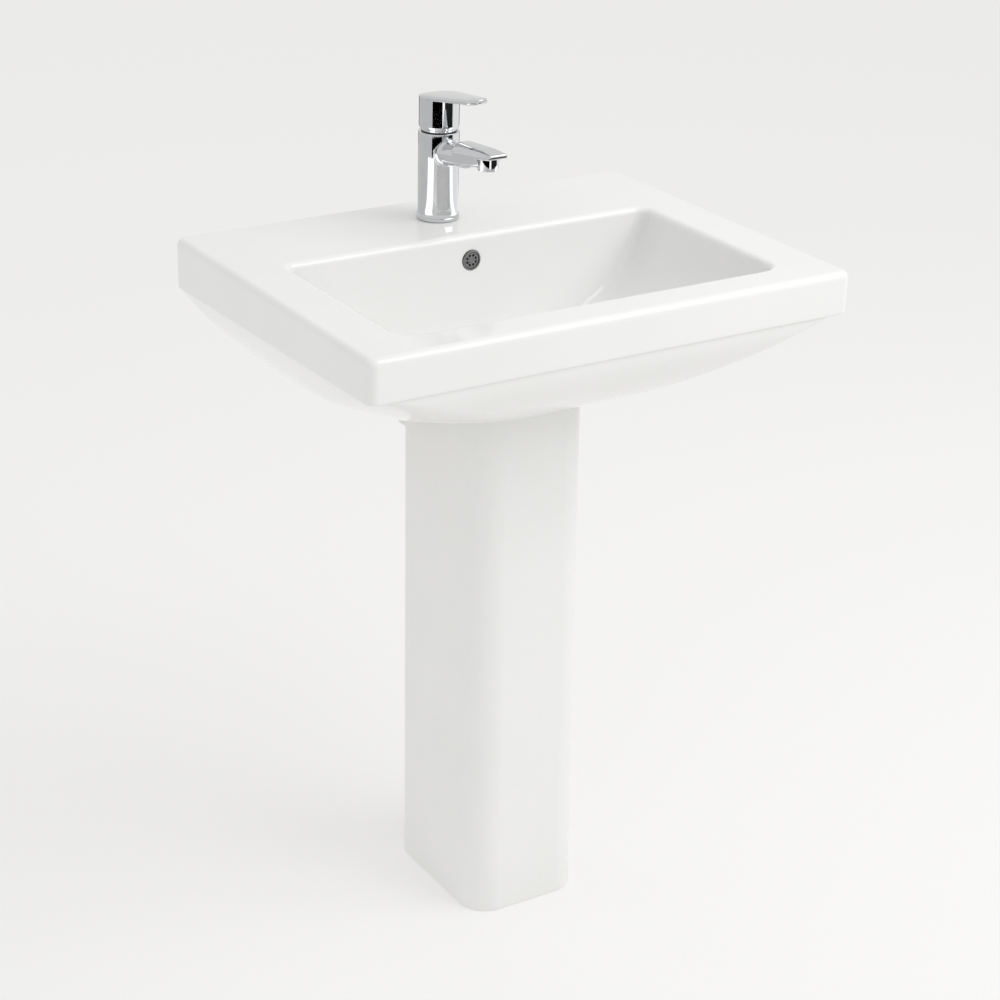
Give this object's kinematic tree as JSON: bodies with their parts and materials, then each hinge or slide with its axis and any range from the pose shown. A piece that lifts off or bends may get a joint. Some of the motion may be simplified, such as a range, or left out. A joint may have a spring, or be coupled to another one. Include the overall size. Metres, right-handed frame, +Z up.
{
  "type": "pedestal sink",
  "caption": "Rectangular ceramic basin on a hollow ceramic pedestal, with a single-lever mixer tap, overflow, press-to-close waste and bottle trap.",
  "frame": {"origin": "on the floor, under the centre of the basin's plan", "axes": "+X to the right along the wall, +Y into the wall, +Z up"},
  "size_m": [0.64, 0.48, 1.0196],
  "materials": {
    "china": "gloss",
    "chrome": "polished",
    "steel": "satin",
    "brass": "satin",
    "plastic": "satin",
    "rubber": "matte",
    "disc_ceramic": "satin"
  },
  "bodies": {
    "sink": {"basin_shell": "china", "basin_bowl": "china", "pedestal": "china", "basin_pads": "rubber", "overflow_ring": "chrome", "waste_body": "chrome", "waste_top_seal": "rubber", "waste_bottom_seal": "rubber", "waste_backnut": "brass", "plug_latch": "plastic", "trap_inlet_nut": "plastic", "trap_inlet_washer": "rubber", "trap_inlet_tube": "plastic", "trap_top_nut": "plastic", "trap_top_seal": "rubber", "trap_body": "plastic", "trap_bottle": "plastic", "trap_bottle_seal": "rubber", "trap_outlet_nut": "plastic", "trap_outlet_seal": "rubber", "outlet_pipe": "plastic", "tap_body": "chrome", "tap_base_ring": "chrome", "tap_base_seal": "rubber", "tap_stud": "steel", "horseshoe_washer": "rubber", "horseshoe_plate": "steel", "tap_nut": "brass", "cartridge_housing": "plastic", "cartridge_base": "plastic", "cartridge_seals": "rubber", "fixed_disc": "disc_ceramic", "cartridge_nut": "brass", "dome_cover": "chrome", "aerator_housing": "chrome", "aerator_insert": "plastic", "aerator_seal": "rubber"},
    "swivel": {"cartridge_rotor": "plastic", "pivot_pin": "steel"},
    "disc": {"moving_disc": "disc_ceramic", "disc_carrier": "plastic"},
    "lever": {"spindle": "steel", "handle": "chrome", "handle_screw": "steel", "handle_plug": "chrome"},
    "plug": {"waste_plug": "chrome", "plug_stem": "brass", "plug_seal": "rubber"}
  },
  "joints": [
    {"name": "lever_swivel", "type": "hinge", "parent": "sink", "child": "swivel", "pos_m": [0, 0.168, 0.965], "axis": [0, 0, 1], "range_deg": [-45, 45]},
    {"name": "lever_lift", "type": "hinge", "parent": "swivel", "child": "lever", "pos_m": [0, 0.168, 0.965], "axis": [-1, 0, 0], "range_deg": [0, 22]},
    {"name": "disc_slide", "type": "slide", "parent": "swivel", "child": "disc", "axis": [0, -1, 0], "range_m": [0, 0.00385]},
    {"name": "plug_press", "type": "slide", "parent": "sink", "child": "plug", "axis": [0, 0, 1], "range_m": [0, 0.008]}
  ],
  "couplings": [
    {"joint": "disc_slide", "follows": "lever_lift", "m_per_rad": 0.01}
  ]
}
